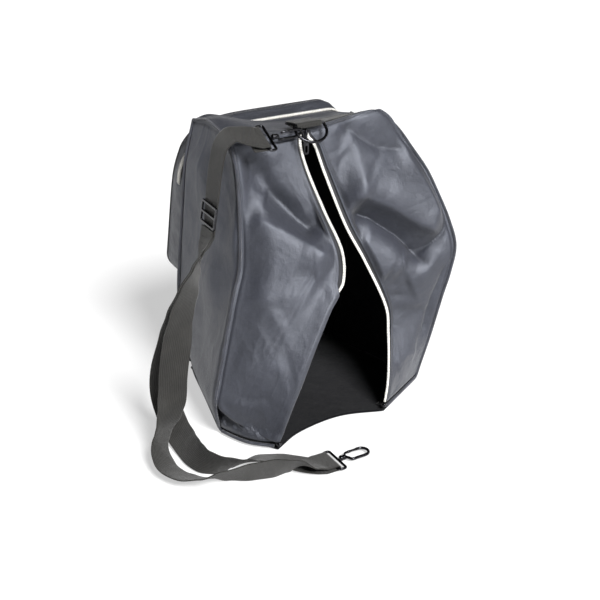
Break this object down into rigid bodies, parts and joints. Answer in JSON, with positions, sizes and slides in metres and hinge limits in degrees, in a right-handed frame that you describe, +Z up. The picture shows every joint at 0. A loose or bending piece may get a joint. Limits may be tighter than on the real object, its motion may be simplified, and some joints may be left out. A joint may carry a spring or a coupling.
{
  "type": "shoe bag",
  "caption": "Soft upright shoe bag with a zipped double-flap front standing open, a zipped rear pocket and an adjustable webbing shoulder strap with snap hooks.",
  "frame": {"origin": "middle of the base panel, on the floor", "axes": "+Z up, -Y towards the zip front, +X towards the right as the open front is faced"},
  "size_m": [0.4908, 0.4009, 0.4149],
  "materials": {
    "nylon": "coated satin weave",
    "binding": "matt",
    "zip": "matt white coil",
    "webbing": "ribbed weave",
    "gunmetal": "dark polished plating"
  },
  "bodies": {
    "bag": {"top_panel": "nylon", "base_panel": "nylon", "back_panel": "nylon", "left_side_panel": "nylon", "right_side_panel": "nylon", "left_flap": "nylon", "right_flap": "nylon", "pocket_panel": "nylon", "pocket_gusset": "nylon", "left_front_piping": "binding", "right_front_piping": "binding", "left_top_piping": "binding", "right_top_piping": "binding", "left_back_piping": "binding", "right_back_piping": "binding", "top_front_piping": "binding", "base_piping": "binding", "pocket_zip": "zip", "shoulder_strap": "webbing", "front_ring_tab": "webbing", "rear_ring_tab": "webbing", "top_band": "webbing", "front_hook_eye": "gunmetal", "loose_hook_eye": "gunmetal", "main_zip_slider": "gunmetal"},
    "left_lapel": {"left_lapel": "nylon", "left_zip_half": "zip", "left_zip_stop": "gunmetal"},
    "right_lapel": {"right_lapel": "nylon", "right_zip_half": "zip", "right_zip_stop": "gunmetal"},
    "main_zip_puller": {"main_zip_puller": "gunmetal"},
    "pocket_zip_slider": {"pocket_zip_slider": "gunmetal"},
    "pocket_zip_puller": {"pocket_zip_puller": "gunmetal"},
    "front_d_ring": {"front_d_ring": "gunmetal"},
    "rear_d_ring": {"rear_d_ring": "gunmetal"},
    "front_hook": {"front_hook_body": "gunmetal"},
    "front_hook_gate": {"front_hook_gate": "gunmetal"},
    "loose_hook": {"loose_hook_body": "gunmetal"},
    "loose_hook_gate": {"loose_hook_gate": "gunmetal"},
    "strap_triglide": {"strap_triglide": "gunmetal"}
  },
  "joints": [
    {"name": "left_lapel_fold", "type": "hinge", "parent": "bag", "child": "left_lapel", "pos_m": [-0.016, -0.057, 0.388], "axis": [-0.2508, -0.2922, -0.9229], "range_deg": [-12, 6]},
    {"name": "right_lapel_fold", "type": "hinge", "parent": "bag", "child": "right_lapel", "pos_m": [-0.003, -0.057, 0.388], "axis": [0.1631, -0.2634, -0.9508], "range_deg": [-12, 15]},
    {"name": "main_puller_swing", "type": "hinge", "parent": "bag", "child": "main_zip_puller", "pos_m": [-0.01, -0.0634, 0.386], "axis": [-1, 0, 0], "range_deg": [0, 50]},
    {"name": "pocket_slider_travel", "type": "slide", "parent": "bag", "child": "pocket_zip_slider", "axis": [0, 0, 1], "range_m": [0, 0.045]},
    {"name": "pocket_puller_swing", "type": "hinge", "parent": "pocket_zip_slider", "child": "pocket_zip_puller", "pos_m": [0.1372, 0.06546, 0.2985], "axis": [0, -1, 0], "range_deg": [0, 120]},
    {"name": "front_ring_swing", "type": "hinge", "parent": "bag", "child": "front_d_ring", "pos_m": [-0.006, -0.062, 0.4075], "axis": [1, 0, 0], "range_deg": [-12, 12]},
    {"name": "rear_ring_swing", "type": "hinge", "parent": "bag", "child": "rear_d_ring", "pos_m": [0, 0.1168, 0.36], "axis": [1, 0, 0], "range_deg": [0, 110]},
    {"name": "front_hook_swivel", "type": "hinge", "parent": "bag", "child": "front_hook", "pos_m": [-0.074, -0.07, 0.4012], "axis": [1, 0, 0], "range_deg": [-10, 10]},
    {"name": "front_gate", "type": "hinge", "parent": "front_hook", "child": "front_hook_gate", "pos_m": [-0.0545, -0.07383, 0.40581], "axis": [0, 0.769, 0.6392], "range_deg": [0, 22], "stiffness_Nm_per_rad": 0.02, "springref_deg": -17.19},
    {"name": "loose_hook_swivel", "type": "hinge", "parent": "bag", "child": "loose_hook", "pos_m": [-0.07, -0.2415, 0.005], "axis": [1, 0, 0], "range_deg": [-20, 20]},
    {"name": "loose_gate", "type": "hinge", "parent": "loose_hook", "child": "loose_hook_gate", "pos_m": [-0.0505, -0.2355, 0.005], "axis": [0, 0, -1], "range_deg": [0, 22], "stiffness_Nm_per_rad": 0.02, "springref_deg": -17.19},
    {"name": "adjuster_slide", "type": "slide", "parent": "bag", "child": "strap_triglide", "axis": [0.1641, 0.0597, 0.9846], "range_m": [0, 0.01]}
  ]
}
